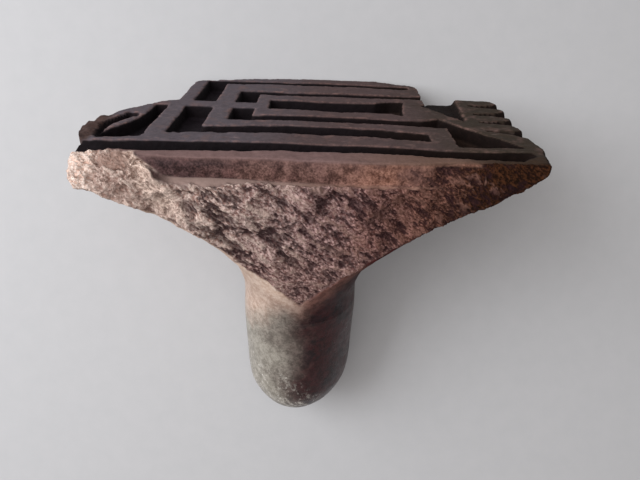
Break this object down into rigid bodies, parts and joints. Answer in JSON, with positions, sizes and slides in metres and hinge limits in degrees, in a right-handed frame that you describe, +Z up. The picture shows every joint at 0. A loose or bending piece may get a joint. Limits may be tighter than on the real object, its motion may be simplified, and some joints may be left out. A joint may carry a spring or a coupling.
{
  "type": "clay stamp",
  "caption": "Old hand-built stamp of fired clay with a carved fret figure, broken along one side, with a bell-shaped back and a solid round stem",
  "frame": {"origin": "middle of the bounding box at table height, with the stamp lying on its far edge and the dome of its stem", "axes": "+X along the broken side, +Y from the stem to the plate, +Z up from the table; the break faces up"},
  "size_m": [0.0754, 0.0702, 0.0453],
  "materials": {
    "fine_clay": "matt, rubbed on the ridges, dark in the grooves",
    "slip": "matt, pale",
    "coarse_clay": "rough, gritty on the break",
    "coil_clay": "smoothed by hand, matt",
    "burnished_clay": "burnished, low sheen"
  },
  "bodies": {
    "root": {"face_slab": "fine_clay", "slab_slip": "slip", "backing": "coarse_clay", "neck_coil": "coil_clay", "stem_slip": "slip", "stem": "burnished_clay"}
  },
  "joints": []
}
